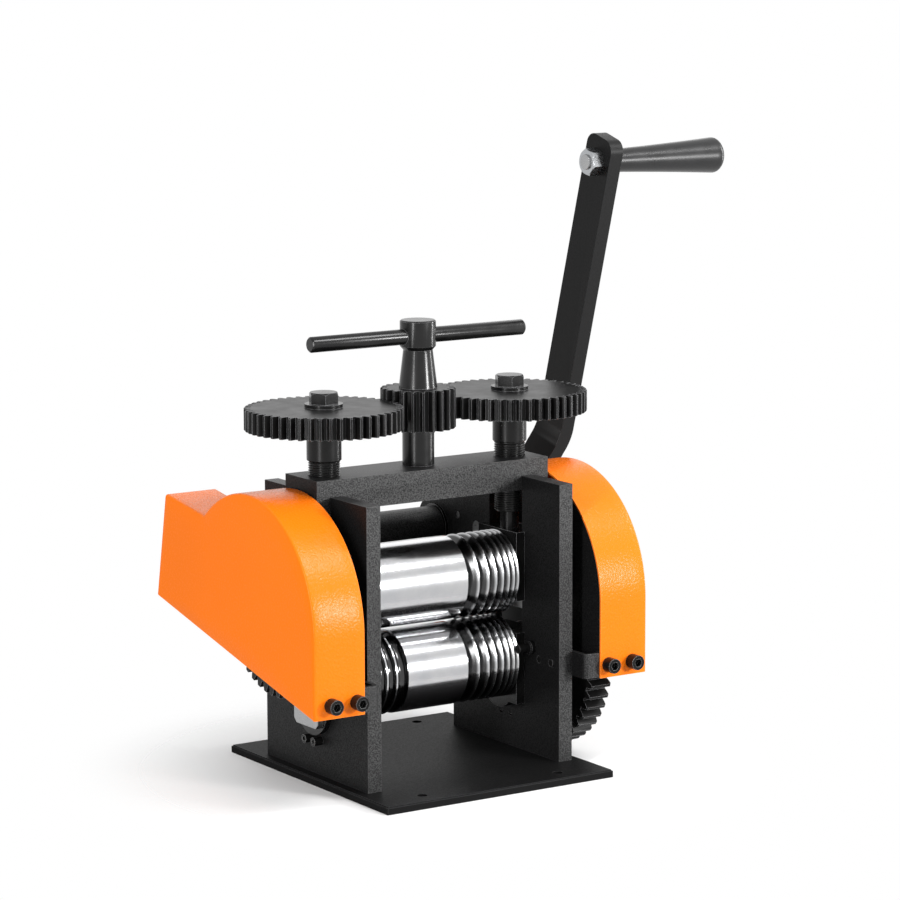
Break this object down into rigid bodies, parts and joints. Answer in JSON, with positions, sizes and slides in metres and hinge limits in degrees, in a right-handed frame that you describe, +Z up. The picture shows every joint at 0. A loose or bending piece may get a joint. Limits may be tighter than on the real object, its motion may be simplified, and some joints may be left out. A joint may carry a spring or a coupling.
{
  "type": "jewellers rolling mill",
  "caption": "Hand cranked bench rolling mill for jewellers: grooved steel rolls, a geared screw-down and gear trains under sheet covers.",
  "frame": {"origin": "middle of the base plate's underside", "axes": "+X along the rolls towards the crank, +Y from front to back, +Z up"},
  "size_m": [0.3739, 0.2168, 0.3996],
  "materials": {
    "powder_black": "fine textured powder coat",
    "cover_orange": "orange powder coat with a light orange-peel texture",
    "oxide_black": "oiled black oxide",
    "plain_steel": "machined, uncoated",
    "bronze": "machined bearing bronze",
    "roll_steel": "hardened and polished",
    "bright_zinc": "bright zinc plate",
    "grip_plastic": "moulded, satin to glossy"
  },
  "bodies": {
    "frame": {"base_plate": "powder_black", "left_side_plate": "powder_black", "right_side_plate": "powder_black", "frame_screws": "oxide_black", "top_beam": "powder_black", "beam_screws": "oxide_black", "left_shaft_arm": "powder_black", "right_shaft_arm": "powder_black", "arm_pins": "plain_steel", "spacer_tube": "powder_black", "shaft_bushes": "oxide_black", "lower_left_block": "plain_steel", "lower_right_block": "plain_steel", "lower_bushes": "bronze", "lower_end_plate": "plain_steel", "keeper_screws": "oxide_black", "guide_studs": "oxide_black", "idler_bolt": "plain_steel", "left_cover": "cover_orange", "right_cover": "cover_orange", "left_cover_bracket": "powder_black", "right_cover_bracket": "powder_black", "cover_screws": "oxide_black", "bracket_screws": "oxide_black"},
    "upper_bearings": {"upper_left_block": "plain_steel", "upper_right_block": "plain_steel", "upper_end_plate": "plain_steel", "block_pins": "plain_steel"},
    "upper_bushes": {"upper_bushes": "bronze"},
    "lower_roll": {"lower_roll": "roll_steel", "lower_roll_gear": "oxide_black", "lower_gear_key": "plain_steel", "lower_gear_nut": "bright_zinc", "lower_end_screw": "oxide_black"},
    "upper_roll": {"upper_roll": "roll_steel", "upper_roll_gear": "oxide_black", "upper_gear_key": "plain_steel", "upper_gear_nut": "bright_zinc", "upper_end_screw": "oxide_black"},
    "left_screw": {"left_adjusting_screw": "oxide_black", "left_screw_gear": "oxide_black", "left_gear_bolt": "oxide_black"},
    "right_screw": {"right_adjusting_screw": "oxide_black", "right_screw_gear": "oxide_black", "right_gear_bolt": "oxide_black"},
    "spindle": {"handle_spindle": "oxide_black", "spindle_pinion": "oxide_black", "tommy_bar": "oxide_black", "spindle_retainer": "oxide_black"},
    "idler": {"idler_gear": "oxide_black"},
    "crank": {"drive_shaft": "plain_steel", "drive_pinions": "oxide_black", "drive_keys": "plain_steel", "drive_nut": "bright_zinc", "crank_arm": "powder_black", "crank_screw": "oxide_black", "grip_bolt": "plain_steel", "grip_nut": "bright_zinc"},
    "grip": {"crank_grip": "grip_plastic"}
  },
  "joints": [
    {"name": "crank_turn", "type": "hinge", "parent": "frame", "child": "crank", "pos_m": [0.13, 0.08418, 0.1365], "axis": [1, 0, 0], "continuous": true},
    {"name": "grip_turn", "type": "hinge", "parent": "crank", "child": "grip", "pos_m": [0.2, 0.01261, 0.38125], "axis": [1, 0, 0], "continuous": true},
    {"name": "lower_roll_turn", "type": "hinge", "parent": "frame", "child": "lower_roll", "pos_m": [0, 0, 0.065], "axis": [1, 0, 0], "continuous": true},
    {"name": "idler_turn", "type": "hinge", "parent": "frame", "child": "idler", "pos_m": [0.1, 0.03447, 0.1428], "axis": [1, 0, 0], "continuous": true},
    {"name": "screw_down", "type": "slide", "parent": "frame", "child": "upper_bearings", "axis": [0, 0, 1], "range_m": [-0.00191, 0.00301]},
    {"name": "upper_bush_turn", "type": "hinge", "parent": "upper_bearings", "child": "upper_bushes", "pos_m": [0, 0, 0.121], "axis": [1, 0, 0], "range_deg": [-2.9, 1.9]},
    {"name": "upper_roll_turn", "type": "hinge", "parent": "upper_bushes", "child": "upper_roll", "pos_m": [0, 0, 0.121], "axis": [1, 0, 0], "continuous": true},
    {"name": "left_screw_turn", "type": "hinge", "parent": "upper_bearings", "child": "left_screw", "pos_m": [-0.07, 0, 0.2], "axis": [0, 0, 1], "range_deg": [-456, 720]},
    {"name": "right_screw_turn", "type": "hinge", "parent": "upper_bearings", "child": "right_screw", "pos_m": [0.07, 0, 0.2], "axis": [0, 0, 1], "range_deg": [-456.5, 720.5]},
    {"name": "spindle_turn", "type": "hinge", "parent": "frame", "child": "spindle", "pos_m": [0, 0, 0.23], "axis": [0, 0, 1], "range_deg": [-1571.91, 995.91]}
  ],
  "couplings": [
    {"joint": "lower_roll_turn", "follows": "crank_turn", "ratio": 0.41667},
    {"joint": "idler_turn", "follows": "crank_turn", "ratio": -1},
    {"joint": "upper_roll_turn", "follows": "crank_turn", "ratio": -0.41667},
    {"joint": "right_screw_turn", "follows": "left_screw_turn", "ratio": 1},
    {"joint": "spindle_turn", "follows": "left_screw_turn", "ratio": -2.1818},
    {"joint": "screw_down", "follows": "left_screw_turn", "m_per_rad": 0.00023873},
    {"joint": "upper_bush_turn", "follows": "left_screw_turn", "ratio": -0.0039171}
  ]
}
